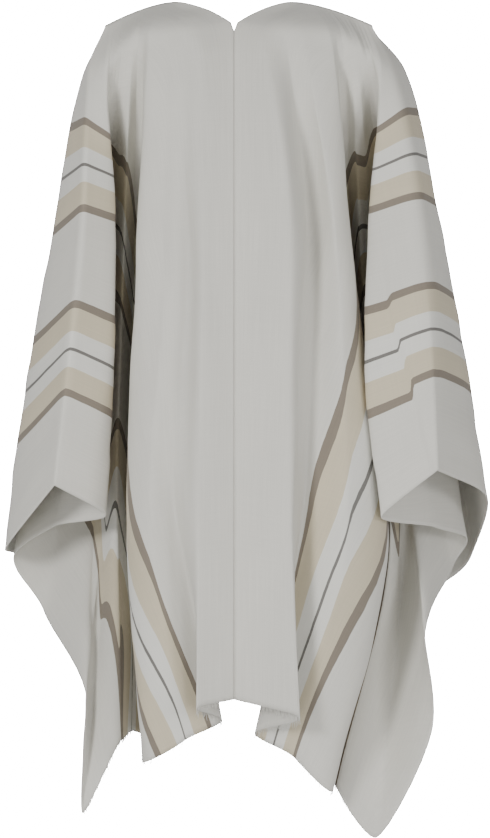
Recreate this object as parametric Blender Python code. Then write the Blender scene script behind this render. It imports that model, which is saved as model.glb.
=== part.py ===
"""A handwoven two-panel poncho, as it hangs on a standing figure that isn't there.

Each panel is one straight length of cloth, from the back hem over the shoulder to the front hem. The two
are sewn edge to edge down the centre, and the slit that is left open is the neck. Metres in the scene,
centimetres in the tables, +Z up. The back faces -Y. The origin is at the middle of the neck opening, at the
height of the shoulders beside the neck.
"""
from collections import namedtuple

import bpy
import bmesh
import numpy as np

# Driving dimensions: the cut of one panel in cm, as the tables use it, and the rest in metres
WIDE = 69.5
LONG = 98.0
CM = 0.01
HALF_LENGTH = LONG * CM
WALL = 0.0015
SEAM_GAP = 0.0003
NECK_HALF = 0.077
SHOULDER_RUN = 0.12
LEFT_SHOULDER_TIP = (0.166, -0.026, -0.034)
RIGHT_SHOULDER_TIP = (0.178, -0.030, -0.034)
BACK_V_REACH = 0.105
BACK_V = (0.0, -0.062, -0.038)
FRONT_V_REACH = 0.245
FRONT_V = (0.0, 0.112, -0.190)
FRINGE_GAP = 0.0005
FRINGE_BAND = 0.004
FRINGE_LENGTH = 0.010
FRINGE_THINNESS = 0.7
STRAND_PITCH = 0.0125

# How the shoulder line and the neck edge bend between their two ends: 1 is straight
SHOULDER_DEPTH_BEND = 2.0
SHOULDER_FALL_BEND = 1.6
NECK_WIDTH_BEND = 1.1
NECK_DEPTH_BEND = 0.8
NECK_FALL_BEND = 1.4

# How far down each fold its sections lie, as a share of its length on the cloth
SECTIONS = (0.0, BACK_V_REACH / HALF_LENGTH, 0.40, 0.70, 1.0)
# Share of the whole fall reached at each section: a fold that goes over the back of the shoulder falls
# late, and one that runs down the arm falls evenly
FALL_OVER_SHOULDER = (0.0, 0.050, 0.355, 0.680, 1.0)
FALL_DOWN_ARM = (0.0, 0.107, 0.400, 0.700, 1.0)
# Rows of the mesh, as shares of a fold's length
ROWS = (0.0, 0.035, 0.07, SECTIONS[1], 0.18, 0.28, 0.40, 0.52, 0.64, 0.76, 0.88, 1.0)

# A fold is one line on the cloth from the shoulder to the edge. across and along are where it ends on the
# flat panel: distance from the inner selvedge and from the shoulder line. fall is the height of that end.
# Each section, and the end, is (sideways from the centre, depth). All are in cm.
Fold = namedtuple("Fold", "name across along fall upper middle lower end")

BACK_LEFT = (
    Fold("seam", 0, LONG, -89.5, (0.0, -6.2), (0.0, -11.5), (0.0, -12.6), (0.0, -13.0)),
    Fold("pleat crest", 5.5, LONG, -90.3, (4.2, -7.4), (3.8, -12.8), (4.4, -14.6), (4.6, -15.8)),
    Fold("pleat turn", 18, LONG, -92.4, (6.4, -7.4), (6.0, -11.2), (7.4, -11.6), (1.5, -10.8)),
    Fold("striped back", 28, LONG, -94.8, (8.2, -7.6), (8.8, -10.0), (10.6, -12.6), (6.3, -12.6)),
    Fold("body edge", 36.7, LONG, -97.6, (10.7, -7.2), (12.4, -7.8), (13.6, -8.6), (11.4, -11.0)),
    Fold("valley wall", 46, LONG, -95.4, (11.5, -6.6), (11.8, 4.4), (12.2, 6.0), (11.8, 0.4)),
    Fold("valley floor", 50, LONG, -94.8, (12.1, -6.2), (13.2, 5.0), (13.8, 6.6), (13.4, 0.2)),
    Fold("flap ridge", 57, LONG, -95.4, (12.8, -6.2), (14.4, 0.8), (15.2, 1.4), (14.4, -5.6)),
    Fold("tip", WIDE, LONG, -104.4, (13.5, -6.2), (15.8, 4.6), (16.8, 2.8), (19.2, -8.5)),
    Fold("curl", WIDE, 87, -96.5, (14.0, -6.2), (16.5, 6.6), (17.4, 5.4), (19.3, -7.5)),
    Fold("kink", WIDE, 76, -89.4, (14.4, -6.2), (17.4, 8.0), (18.4, 8.0), (19.1, -5.0)),
    Fold("flap edge", WIDE, 56, -79.6, (14.9, -6.3), (18.8, 8.8), (21.4, 10.2), (25.2, 7.0)),
    Fold("under turn", WIDE, 35, -72.6, (15.4, -6.4), (21.0, 7.0), (24.6, 9.0), (29.2, 7.0)),
    Fold("underarm", WIDE, 20, -68.2, (15.9, -6.6), (17.4, 0.8), (19.6, 1.6), (23.4, 0.8)),
    Fold("arm fold", WIDE, 8, -66.6, (16.5, -6.8), (15.3, -5.8), (15.4, -5.8), (16.4, -5.0)),
    Fold("crest", WIDE, 0, -62.6, (18.8, -5.0), (19.2, -9.8), (20.8, -10.4), (22.8, -9.6)),
)
BACK_RIGHT = (
    Fold("seam", 0, LONG, -89.5, (0.0, -6.2), (0.0, -11.5), (0.0, -12.6), (0.0, -13.0)),
    Fold("pleat crest", 10, LONG, -91.5, (3.8, -7.4), (6.2, -13.6), (7.0, -15.0), (8.2, -16.4)),
    Fold("pleat turn", 21, LONG, -94.0, (6.6, -7.6), (10.2, -8.8), (9.0, -10.6), (2.6, -10.4)),
    Fold("striped back", 34, LONG, -97.0, (9.2, -7.6), (13.2, -10.8), (14.4, -12.4), (7.6, -11.8)),
    Fold("body edge", 44, LONG, -101.4, (12.2, -7.2), (15.4, -7.6), (19.6, -7.0), (12.4, -10.6)),
    Fold("valley wall", 48, LONG, -100.2, (13.1, -6.6), (14.2, 3.8), (18.0, 4.8), (12.8, -1.4)),
    Fold("valley floor", 51.5, LONG, -99.8, (13.8, -6.3), (15.6, 4.6), (19.6, 5.4), (14.4, -1.2)),
    Fold("flap ridge", 57, LONG, -101.2, (14.6, -6.3), (16.8, 1.6), (20.4, 1.8), (14.2, -6.2)),
    Fold("tip", WIDE, LONG, -107.6, (15.3, -6.3), (18.4, 4.2), (21.6, 3.6), (18.0, -8.0)),
    Fold("curl", WIDE, 87, -93.4, (15.8, -6.3), (19.0, 6.4), (22.2, 6.0), (25.4, -8.0)),
    Fold("kink", WIDE, 76, -81.6, (16.3, -6.3), (19.8, 7.6), (22.7, 8.6), (24.6, -4.5)),
    Fold("flap edge", WIDE, 56, -74.2, (16.9, -6.1), (21.4, 8.8), (25.2, 10.2), (28.8, 7.5)),
    Fold("under turn", WIDE, 35, -70.0, (17.7, -6.2), (23.4, 7.0), (27.4, 9.0), (30.8, 7.0)),
    Fold("underarm", WIDE, 20, -68.2, (18.1, -6.6), (20.2, 0.0), (22.6, -1.5), (26.0, -2.0)),
    Fold("arm fold", WIDE, 8, -66.6, (18.8, -6.8), (17.4, -7.2), (16.6, -10.8), (18.6, -11.0)),
    Fold("crest", WIDE, 0, -60.6, (20.6, -5.4), (23.5, -10.2), (25.2, -12.8), (25.6, -12.8)),
)
# Beyond the crest: the outermost line of each arm, then the hidden front, which hangs more simply and the
# same on both sides, a little wider on the right
OUTER_LEFT = Fold("outer fold", WIDE, 13, -71.0, (19.6, -0.6), (23.4, -0.8), (27.0, 0.2), (29.8, 1.6))
OUTER_RIGHT = Fold("outer fold", WIDE, 13, -64.6, (22.2, -0.6), (26.4, -0.6), (30.0, 0.2), (33.0, 1.0))
FRONT = (
    Fold("front turn", WIDE, 27, -72.6, (18.8, 3.0), (23.0, 13.4), (26.8, 15.8), (29.2, 15.6)),
    Fold("front drop", WIDE, 58, -80.0, (16.0, 4.6), (18.4, 17.6), (20.8, 20.6), (22.6, 19.6)),
    Fold("front tip", WIDE, LONG, -96.0, (14.4, 3.6), (16.4, 12.0), (17.8, 12.6), (17.0, 12.6)),
    Fold("front ridge", 55, LONG, -93.5, (13.4, 5.0), (15.0, 17.4), (16.4, 20.4), (13.6, 20.4)),
    Fold("front valley", 42, LONG, -91.5, (11.8, 4.6), (12.6, 9.6), (12.8, 10.4), (11.4, 10.8)),
    Fold("front edge", 28, LONG, -90.0, (9.4, 5.6), (9.8, 15.6), (9.8, 18.0), (8.6, 18.6)),
    Fold("front panel", 13, LONG, -88.0, (7.2, 5.4), (5.2, 13.2), (4.8, 14.2), (4.4, 13.6)),
    Fold("seam", 0, LONG, -87.5, (4.6, 5.2), (0.0, 13.6), (0.0, 15.8), (0.0, 16.6)),
)
FRONT_SPREAD_RIGHT = 1.10
# Where columns of the mesh lie between one fold and the next
BACK_COLUMNS = (0.0, 0.24, 0.76)
FRONT_COLUMNS = (0.0, 0.10, 0.36, 0.64, 0.90)
# How far cloth swells past its turns, the sharpest fold that the wall is drawn out for, and the angle in
# radians from which an edge is shaded sharp
FULLNESS = 0.65
LEAST_FACING = 0.42
SHARP_ANGLE = 1.0

# Cloth colours, linear
CLOTH_COLOUR = (0.56, 0.55, 0.50, 1.0)
FRINGE_COLOUR = (0.60, 0.58, 0.53, 1.0)
CLOTH_ROUGHNESS = 0.9


def even_slopes(places, values):
    """Slopes of a curve that never overshoots its values (values[k] belongs to places[k])."""
    gaps = np.diff(places).reshape(-1, *([1] * (values.ndim - 1)))
    rates = np.diff(values, axis=0) / gaps
    slopes = np.empty_like(values)
    before, after = rates[:-1], rates[1:]
    wide = 2 * gaps[1:] + gaps[:-1]
    narrow = gaps[1:] + 2 * gaps[:-1]
    same_way = before * after > 0
    safe_before = np.where(same_way, before, 1.0)
    safe_after = np.where(same_way, after, 1.0)
    slopes[1:-1] = np.where(same_way, (wide + narrow) / (wide / safe_before + narrow / safe_after), 0.0)
    slopes[0] = rates[0]
    slopes[-1] = rates[-1]
    return slopes


def round_slopes(places, values):
    """Slopes that carry the curve round each turn, as cloth goes round a fold."""
    slopes = even_slopes(places, values)
    wide = (places[2:] - places[:-2]).reshape(-1, *([1] * (values.ndim - 1)))
    slopes[1:-1] = FULLNESS * (values[2:] - values[:-2]) / wide
    return slopes


def curve_through(places, values, wanted, slopes):
    """The curve through the values with the given slopes, read at the wanted places."""
    spans = np.clip(np.searchsorted(places, wanted, side="right") - 1, 0, len(places) - 2)
    width = (places[spans + 1] - places[spans]).reshape(-1, *([1] * (values.ndim - 1)))
    share = (wanted - places[spans]).reshape(width.shape) / width
    rise = share ** 2 * (3 - 2 * share)
    lead = share * (1 - share) ** 2
    trail = -share ** 2 * (1 - share)
    return ((1 - rise) * values[spans] + rise * values[spans + 1]
            + width * (lead * slopes[spans] + trail * slopes[spans + 1]))


def shoulder_line(across, tip):
    """Points on the top of the shoulder, at distances across the panel from the side of the neck."""
    share = np.clip(np.asarray(across) / SHOULDER_RUN, 0.0, 1.0)
    x = NECK_HALF + (tip[0] - NECK_HALF) * share
    y = tip[1] * share ** SHOULDER_DEPTH_BEND
    z = tip[2] * share ** SHOULDER_FALL_BEND
    return np.stack([x, y, z], axis=-1)


def fold_sections(fold, start_share, shoulder_tip):
    """One fold's five sections as rows of (x, y, z), in metres."""
    start = shoulder_line(SHOULDER_RUN * start_share, shoulder_tip)
    even = 1 - fold.along * CM / HALF_LENGTH
    rows = [start]
    stations = (fold.upper, fold.middle, fold.lower, fold.end)
    for over, down, (x, y) in zip(FALL_OVER_SHOULDER[1:], FALL_DOWN_ARM[1:], stations):
        share = over + (down - over) * even
        z = start[2] + (fold.fall * CM - start[2]) * share
        rows.append((x * CM, y * CM, z))
    return np.array(rows)


def neck_edge(shares, v_reach, v_point):
    """The inner selvedge from the side of the neck to the point of the V, at shares of the fold's length."""
    part = np.clip(np.asarray(shares) * HALF_LENGTH / v_reach, 0.0, 1.0)
    x = NECK_HALF * (1 - part) ** NECK_WIDTH_BEND
    y = v_point[1] * part ** NECK_DEPTH_BEND
    z = v_point[2] * part ** NECK_FALL_BEND
    return np.stack([x, y, z], axis=-1)


def half_surface(folds, column_places, shares, shoulder_tip, v_reach, v_point):
    """One half of a panel, [column, row, (x, y, z)], from the centre seam to the crest."""
    shares = np.asarray(shares, dtype=float)
    sections = np.array(SECTIONS)
    lines = []
    for fold, start in zip(folds, np.linspace(0.0, 1.0, len(folds))):
        rows = fold_sections(fold, start, shoulder_tip)
        lines.append(curve_through(sections, rows, shares, even_slopes(sections, rows)))
    lines = np.array(lines)
    in_neck = shares * HALF_LENGTH <= v_reach
    lines[0, in_neck] = neck_edge(shares, v_reach, v_point)[in_neck]
    lines[0, ~in_neck, 0] = 0.0
    ends = np.array([(fold.across, fold.along) for fold in folds], dtype=float)
    edge = np.concatenate([[0.0], np.cumsum(np.linalg.norm(np.diff(ends, axis=0), axis=1))])
    columns = [a + (b - a) * place for a, b in zip(edge[:-1], edge[1:]) for place in column_places]
    columns = np.array(columns + [edge[-1]])
    slopes = even_slopes(edge, lines)
    slopes[:, :, :2] = round_slopes(edge, lines[:, :, :2])
    surface = curve_through(edge, lines, columns, slopes)
    surface[:, 0] = shoulder_line(SHOULDER_RUN * np.linspace(0.0, 1.0, len(columns)), shoulder_tip)
    return surface


def panel_surface(side):
    """A whole panel: columns from the centre back seam over the crest to the centre front seam."""
    back_folds, outer, spread, tip = BACK_LEFT, OUTER_LEFT, 1.0, LEFT_SHOULDER_TIP
    if side > 0:
        back_folds, outer, spread, tip = BACK_RIGHT, OUTER_RIGHT, FRONT_SPREAD_RIGHT, RIGHT_SHOULDER_TIP
    front_folds = [spread_fold(fold, spread) for fold in reversed(FRONT)] + [outer, back_folds[-1]]
    back = half_surface(back_folds, BACK_COLUMNS, ROWS, tip, BACK_V_REACH, BACK_V)
    front = half_surface(front_folds, FRONT_COLUMNS, ROWS, tip, FRONT_V_REACH, FRONT_V)
    surface = np.concatenate([back, front[::-1][1:]], axis=0)
    surface[:, :, 0] = side * (surface[:, :, 0] + SEAM_GAP / 2)
    return surface


def spread_fold(fold, spread):
    """The same fold, further from the centre."""
    wider = [(x * spread, y) for x, y in (fold.upper, fold.middle, fold.lower, fold.end)]
    return Fold(fold.name, fold.across, fold.along, fold.fall, *wider)


def panel_faces(columns, rows, side):
    """Vertex numbers and faces of the sheet; the two halves share their first row, the shoulder line."""
    number = {}
    order = []
    for i in range(columns):
        for j in range(rows):
            key = (min(i, columns - 1 - i), 0) if j == 0 else (i, j)
            if key not in number:
                number[key] = len(order)
                order.append((i, j))
            number[(i, j)] = number[key]
    faces = []
    for i in range(columns - 1):
        for j in range(rows - 1):
            ring = [number[(i, j)], number[(i, j + 1)], number[(i + 1, j + 1)], number[(i + 1, j)]]
            ring = list(dict.fromkeys(ring))
            faces.append(ring if side > 0 else ring[::-1])
    return number, order, faces


def sheet_offsets(points, faces, flat_across):
    """Half the wall at each vertex, along its normal, longer round a fold so that the wall keeps its
    thickness; on the seams it stays in the plane of the seam."""
    normals = np.zeros_like(points)
    corners = []
    for face in faces:
        ring = points[list(face)]
        normal = np.zeros(3)
        for k in range(1, len(face) - 1):
            normal += np.cross(ring[k] - ring[0], ring[k + 1] - ring[0])
        corners.append(normal / np.linalg.norm(normal))
        for vertex in face:
            normals[vertex] += normal
    normals[flat_across, 0] = 0.0
    normals /= np.linalg.norm(normals, axis=1)[:, None]
    facing = np.zeros(len(points))
    count = np.zeros(len(points))
    for face, normal in zip(faces, corners):
        for vertex in face:
            facing[vertex] += np.dot(normals[vertex], normal)
            count[vertex] += 1
    return normals * (WALL / 2 / np.clip(facing / count, LEAST_FACING, 1.0))[:, None]


def boundary_loop(faces):
    """The sheet's open edges as pairs of vertices, in the faces' own direction."""
    edges = {}
    for face in faces:
        for a, b in zip(face, face[1:] + face[:1]):
            edges[(a, b)] = True
    return [(a, b) for (a, b) in edges if (b, a) not in edges]


def add_object(name, vertices, faces, colour):
    """A closed mesh object with its own material."""
    mesh = bpy.data.meshes.new(name)
    mesh.from_pydata([tuple(v) for v in vertices], [], [tuple(f) for f in faces])
    work = bmesh.new()
    work.from_mesh(mesh)
    bmesh.ops.triangulate(work, faces=work.faces)
    bmesh.ops.recalc_face_normals(work, faces=work.faces)
    work.to_mesh(mesh)
    work.free()
    mesh.shade_smooth()
    mesh.set_sharp_from_angle(angle=SHARP_ANGLE)
    material = bpy.data.materials.new(name + "_cloth")
    material.use_nodes = True
    shader = material.node_tree.nodes["Principled BSDF"]
    shader.inputs["Base Color"].default_value = colour
    shader.inputs["Roughness"].default_value = CLOTH_ROUGHNESS
    shader.inputs["Metallic"].default_value = 0.0
    mesh.materials.append(material)
    item = bpy.data.objects.new(name, mesh)
    bpy.context.scene.collection.objects.link(item)
    return item


def panel_shell(side):
    """The panel's sheet and its half walls, ready for the wall and for the fringe."""
    surface = panel_surface(side)
    columns, rows = surface.shape[:2]
    number, order, faces = panel_faces(columns, rows, side)
    points = np.array([surface[i, j] for i, j in order])
    on_seam = [number[(i, j)] for i in (0, columns - 1) for j in range(rows)
               if abs(surface[i, j, 0]) < 2 * SEAM_GAP]
    return number, points, faces, sheet_offsets(points, faces, on_seam)


def build_panel(name, shell):
    """One panel as a closed wall of even thickness."""
    _, points, faces, half = shell
    outer = points + half
    inner = points - half
    count = len(points)
    walls = list(faces) + [[v + count for v in face[::-1]] for face in faces]
    walls += [[b, a, a + count, b + count] for a, b in boundary_loop(faces)]
    return add_object(name, np.concatenate([outer, inner]), walls, CLOTH_COLOUR)


def build_fringe(name, shell, columns):
    """The warp ends along one hem: a narrow band, a hair's breadth off the hem, with a row of strands."""
    number, points, _, offsets = shell
    last = len(ROWS) - 1
    hem = np.array([points[number[(i, last)]] for i in columns])
    above = np.array([points[number[(i, last - 1)]] for i in columns])
    half = np.array([offsets[number[(i, last)]] for i in columns]) * FRINGE_THINNESS
    runs = np.diff(hem, axis=0)
    runs /= np.linalg.norm(runs, axis=1)[:, None]
    along = np.concatenate([runs[:1], runs]) + np.concatenate([runs, runs[-1:]])
    along /= np.linalg.norm(along, axis=1)[:, None]
    down = hem - above
    down -= along * np.sum(down * along, axis=1)[:, None]
    down[np.abs(hem[:, 0]) < 2 * SEAM_GAP, 0] = 0.0
    down /= np.linalg.norm(down, axis=1)[:, None]
    stations = []
    for k in range(len(hem) - 1):
        strands = max(1, round(np.linalg.norm(hem[k + 1] - hem[k]) / STRAND_PITCH))
        stations += [k + step / strands for step in range(strands)]
    stations.append(len(hem) - 1)
    hem, half, down = [np.array([np.interp(stations, range(len(values)), axis) for axis in values.T]).T
                       for values in (hem, half, down)]
    top = hem + down * FRINGE_GAP
    low = hem + down * FRINGE_BAND
    rings = (top + half, top - half, low - half, low + half)
    n = len(stations)
    vertices = list(np.concatenate(rings))
    faces = [[0, n, 2 * n, 3 * n], [n - 1, 4 * n - 1, 3 * n - 1, 2 * n - 1]]
    for k in range(n - 1):
        for upper, lower in ((0, 1), (1, 2), (3, 0)):
            a, b = upper * n + k, lower * n + k
            faces.append([a, a + 1, b + 1, b])
        vertices.append((low[k] + low[k + 1]) / 2 + (down[k] + down[k + 1]) / 2 * FRINGE_LENGTH)
        root = [2 * n + k, 2 * n + k + 1, 3 * n + k + 1, 3 * n + k]
        faces += [[a, b, len(vertices) - 1] for a, b in zip(root, root[1:] + root[:1])]
    return add_object(name, vertices, faces, FRINGE_COLOUR)


def main():
    for item in list(bpy.data.objects):
        bpy.data.objects.remove(item)
    back_tip = [fold.name for fold in BACK_LEFT].index("tip") * len(BACK_COLUMNS)
    crest = (len(BACK_LEFT) - 1) * len(BACK_COLUMNS)
    front_tip = crest + ([fold.name for fold in FRONT].index("front tip") + 2) * len(FRONT_COLUMNS)
    for word, side in (("left", -1), ("right", 1)):
        shell = panel_shell(side)
        build_panel("panel_" + word, shell)
        build_fringe("fringe_back_" + word, shell, range(0, back_tip + 1))
        build_fringe("fringe_front_" + word, shell, range(front_tip, 2 * crest + 1))


main()
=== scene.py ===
"""Looks of the poncho: the fan of fold lines of its solids, drawn finer and with small changes, with its
weave, stripes, seams and fringe. Metres in the scene, centimetres in the tables.
"""
import math
from collections import namedtuple

import bpy
import numpy as np
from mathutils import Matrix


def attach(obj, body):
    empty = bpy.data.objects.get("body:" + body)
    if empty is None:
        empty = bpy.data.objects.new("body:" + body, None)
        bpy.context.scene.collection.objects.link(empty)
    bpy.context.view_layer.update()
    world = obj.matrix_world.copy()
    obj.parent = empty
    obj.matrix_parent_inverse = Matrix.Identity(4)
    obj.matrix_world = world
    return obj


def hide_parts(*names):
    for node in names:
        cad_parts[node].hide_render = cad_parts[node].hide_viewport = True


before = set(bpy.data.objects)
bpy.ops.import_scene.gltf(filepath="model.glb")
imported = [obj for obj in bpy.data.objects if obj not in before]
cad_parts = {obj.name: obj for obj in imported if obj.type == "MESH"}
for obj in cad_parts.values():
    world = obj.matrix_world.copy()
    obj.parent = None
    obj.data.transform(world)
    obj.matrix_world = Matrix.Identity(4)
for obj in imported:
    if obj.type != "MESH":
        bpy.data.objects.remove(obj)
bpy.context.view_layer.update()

CM = 0.01
MM = 0.001
TINY = 1e-12
CLOTH_THICKNESS = 0.0014
SEAM_GAP = 0.0003
PANEL_WIDTH = 0.695
HALF_LENGTH = 0.98
NECK_HALF = 0.077
SHOULDER_RUN = 0.12
SHOULDER_DROP_POWER = 1.6
LEFT_SHOULDER_TIP = (0.166, -0.026, -0.034)
RIGHT_SHOULDER_TIP = (0.178, -0.030, -0.034)
BACK_V_REACH = 0.105
BACK_V = (0.0, -0.062, -0.038)
FRONT_V_REACH = 0.245
FRONT_V = (0.0, 0.112, -0.190)
# How the neck edge bends on its way to the V: sideways, in depth and in height
NECK_POWERS = (1.1, 0.8, 1.4)

# How far down each fold its sections lie, as a share of its length on the cloth
SECTIONS = (0.0, BACK_V_REACH / HALF_LENGTH, 0.40, 0.70, 1.0)
# Share of the whole fall reached at each section: a fold that goes over the back of the shoulder falls
# late, and one that runs down the arm falls evenly
FALL_OVER_SHOULDER = (0.0, 0.050, 0.355, 0.680, 1.0)
FALL_DOWN_ARM = (0.0, 0.107, 0.400, 0.700, 1.0)
# Rows of the mesh, as shares of a fold's length
ROWS = np.linspace(0.0, 1.0, 121)

# A fold is one line on the cloth from the shoulder to the edge. across and along are where it ends on the
# flat panel: distance from the inner selvedge and from the shoulder line. fall is the height of that end.
# Each section is (across, sideways from the centre, depth), and end is (sideways, depth), all in cm.
Fold = namedtuple("Fold", "name across along fall upper middle lower end")

BACK_LEFT = (
    Fold("seam", 0, 98, -89.5,
         (0, 0.0, -6.2), (0, 0.0, -11.5), (0, 0.0, -12.6), (0.0, -13.0)),
    Fold("pleat crest", 5.5, 98, -90.3,
         (2.5, 4.2, -7.4), (4.5, 3.8, -12.8), (5.0, 4.4, -14.6), (4.6, -15.8)),
    Fold("pleat turn", 18, 98, -92.4,
         (5.0, 6.4, -7.4), (8.5, 6.0, -11.2), (13.5, 7.4, -11.6), (1.5, -10.8)),
    Fold("striped back", 28.8, 98, -94.8,
         (7.5, 8.2, -7.6), (14.0, 8.8, -10.0), (19.5, 10.6, -12.6), (6.3, -12.6)),
    Fold("body edge", 37.6, 98, -97.6,
         (9.0, 10.7, -7.2), (17.5, 12.4, -7.8), (24.8, 13.6, -8.6), (11.4, -11.0)),
    Fold("valley wall", 46, 98, -95.4,
         (9.6, 11.5, -6.6), (22.5, 11.8, 4.4), (43.0, 12.2, 6.0), (11.8, 0.4)),
    Fold("valley floor", 50, 98, -94.8,
         (10.2, 12.1, -6.2), (25.5, 13.2, 5.0), (46.6, 13.8, 6.6), (13.4, 0.2)),
    Fold("flap ridge", 57, 98, -95.4,
         (10.9, 12.8, -6.2), (30.0, 14.4, 0.8), (51.0, 15.2, 1.4), (14.4, -5.6)),
    Fold("tip", 69.5, 98, -104.4,
         (11.6, 13.5, -6.2), (34.0, 15.8, 4.6), (52.8, 16.8, 2.8), (19.2, -8.5)),
    Fold("curl", 69.5, 87, -96.5,
         (11.9, 14.0, -6.2), (34.4, 16.5, 6.6), (52.8, 17.4, 5.4), (19.3, -7.5)),
    Fold("kink", 69.5, 76, -89.4,
         (12.2, 14.4, -6.2), (34.7, 17.4, 8.0), (52.2, 18.4, 8.0), (19.1, -5.0)),
    Fold("flap edge", 69.5, 56, -79.6,
         (12.6, 14.9, -6.3), (34.0, 18.8, 8.8), (51.5, 21.4, 10.2), (25.2, 7.0)),
    Fold("under turn", 69.5, 35, -72.6,
         (13.2, 15.4, -6.4), (34.1, 21.0, 7.0), (52.5, 24.6, 9.0), (29.2, 7.0)),
    Fold("underarm", 69.5, 20, -68.2,
         (13.8, 15.9, -6.6), (33.5, 17.4, 0.8), (55.0, 19.6, 1.6), (23.4, 0.8)),
    Fold("arm fold", 69.5, 8, -66.6,
         (14.6, 16.5, -6.8), (33.6, 15.3, -5.8), (51.0, 15.4, -5.8), (16.4, -5.0)),
    Fold("crest", 69.5, 0, -62.6,
         (16.7, 18.8, -5.0), (33.6, 19.2, -9.8), (51.0, 20.8, -10.4), (22.8, -9.6)),
)
BACK_RIGHT = (
    Fold("seam", 0, 98, -89.5,
         (0, 0.0, -6.2), (0, 0.0, -11.5), (0, 0.0, -12.6), (0.0, -13.0)),
    Fold("pleat crest", 10, 98, -91.5,
         (3.0, 3.8, -7.4), (6.5, 7.1, -13.6), (8.5, 7.0, -15.0), (8.2, -16.4)),
    Fold("pleat turn", 21, 98, -94.0,
         (6.0, 6.6, -7.6), (12.6, 10.2, -8.8), (21.8, 9.0, -10.6), (2.6, -10.4)),
    Fold("striped back", 34, 98, -97.0,
         (8.5, 9.2, -7.6), (16.8, 13.2, -10.8), (28.6, 14.4, -12.4), (7.6, -11.8)),
    Fold("body edge", 44, 98, -101.4,
         (9.6, 12.2, -7.2), (22.5, 15.4, -7.6), (35.2, 19.6, -7.0), (12.4, -10.6)),
    Fold("valley wall", 48, 98, -100.2,
         (10.0, 13.1, -6.6), (26.0, 14.2, 3.8), (46.0, 18.0, 4.8), (12.8, -1.4)),
    Fold("valley floor", 51.5, 98, -99.8,
         (10.4, 13.8, -6.3), (28.5, 15.6, 4.6), (53.0, 19.6, 5.4), (14.4, -1.2)),
    Fold("flap ridge", 57, 98, -101.2,
         (11.0, 14.6, -6.3), (33.0, 16.8, 1.6), (57.6, 20.4, 1.8), (13.0, -6.4)),
    Fold("tip", 69.5, 98, -107.6,
         (11.8, 15.3, -6.3), (35.0, 18.4, 4.2), (58.0, 21.6, 3.6), (18.0, -8.0)),
    Fold("curl", 69.5, 87, -93.4,
         (12.2, 15.8, -6.3), (35.5, 19.0, 6.4), (58.5, 22.2, 6.0), (25.4, -8.0)),
    Fold("kink", 69.5, 76, -81.6,
         (12.6, 16.3, -6.3), (36.0, 19.8, 7.6), (59.0, 22.7, 8.6), (24.6, -4.5)),
    Fold("flap edge", 69.5, 56, -74.2,
         (13.0, 16.9, -6.1), (36.5, 21.4, 8.8), (59.5, 25.2, 10.2), (28.8, 7.5)),
    Fold("under turn", 69.5, 35, -70.0,
         (13.6, 17.7, -6.2), (36.5, 23.4, 7.0), (59.0, 27.4, 9.0), (30.8, 7.0)),
    Fold("underarm", 69.5, 20, -68.2,
         (14.3, 18.1, -6.6), (35.5, 20.2, 0.0), (56.0, 22.6, -1.5), (26.0, -2.0)),
    Fold("arm fold", 69.5, 8, -66.6,
         (15.2, 18.8, -6.8), (34.5, 17.4, -7.2), (52.3, 16.6, -10.8), (18.6, -11.0)),
    Fold("crest", 69.5, 0, -60.6,
         (17.3, 20.6, -5.4), (34.5, 23.5, -10.2), (52.3, 25.2, -12.8), (25.6, -12.8)),
)
# Beyond the crest: the outermost line of each arm, then the hidden front, which hangs more simply and the
# same on both sides, a little wider on the right
OUTER_LEFT = Fold("outer fold", 69.5, 13, -71.0,
                  (16.7, 19.6, -0.6), (33.6, 23.4, -0.8), (51.0, 27.0, 0.2), (29.8, 1.6))
OUTER_RIGHT = Fold("outer fold", 69.5, 13, -64.6,
                   (17.2, 22.2, -0.6), (34.4, 26.4, -0.6), (52.3, 30.0, 0.2), (33.0, 1.0))
FRONT = (
    Fold("front turn", 69.5, 27, -72.6,
         (17.8, 18.8, 3.0), (34.9, 23.0, 13.4), (52.3, 26.8, 15.8), (29.2, 15.6)),
    Fold("front drop", 69.5, 58, -80.0,
         (16.8, 16.0, 4.6), (34.0, 18.4, 17.6), (51.8, 20.8, 20.6), (22.6, 19.6)),
    Fold("front tip", 69.5, 98, -96.0,
         (15.0, 14.4, 3.6), (32.0, 16.4, 12.0), (49.0, 17.8, 12.6), (17.0, 12.6)),
    Fold("front ridge", 55, 98, -93.5,
         (13.0, 13.4, 5.0), (27.0, 15.0, 17.4), (41.0, 16.4, 20.4), (13.6, 20.4)),
    Fold("front valley", 42, 98, -91.5,
         (11.0, 11.8, 4.6), (21.5, 12.6, 9.6), (32.0, 12.8, 10.4), (11.4, 10.8)),
    Fold("front edge", 28, 98, -90.0,
         (8.0, 9.4, 5.6), (14.5, 9.8, 15.6), (21.0, 9.8, 18.0), (8.6, 18.6)),
    Fold("front panel", 13, 98, -88.0,
         (4.5, 7.2, 5.4), (8.0, 5.2, 13.2), (10.5, 4.8, 14.2), (4.4, 13.6)),
    Fold("seam", 0, 98, -87.5,
         (0, 4.6, 5.2), (0, 0.0, 13.6), (0, 0.0, 15.8), (0.0, 16.6)),
)
FRONT_SPREAD_RIGHT = 1.10
# Where columns of the mesh lie between one fold and the next, closer together at the folds
BACK_COLUMNS = (0.0, 0.05, 0.14, 0.27, 0.42, 0.58, 0.73, 0.86, 0.95)
FRONT_COLUMNS = (0.0, 0.03, 0.08, 0.14, 0.21, 0.29, 0.38, 0.47, 0.56, 0.65, 0.73, 0.80, 0.87, 0.93, 0.97)
# Beside the crest they are finer, for the folds of the arm
BACK_CREST_COLUMNS = np.arange(27) / 27
FRONT_CREST_COLUMNS = np.arange(33) / 33
# How far cloth swells past its turns
FULLNESS = 0.65
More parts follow.
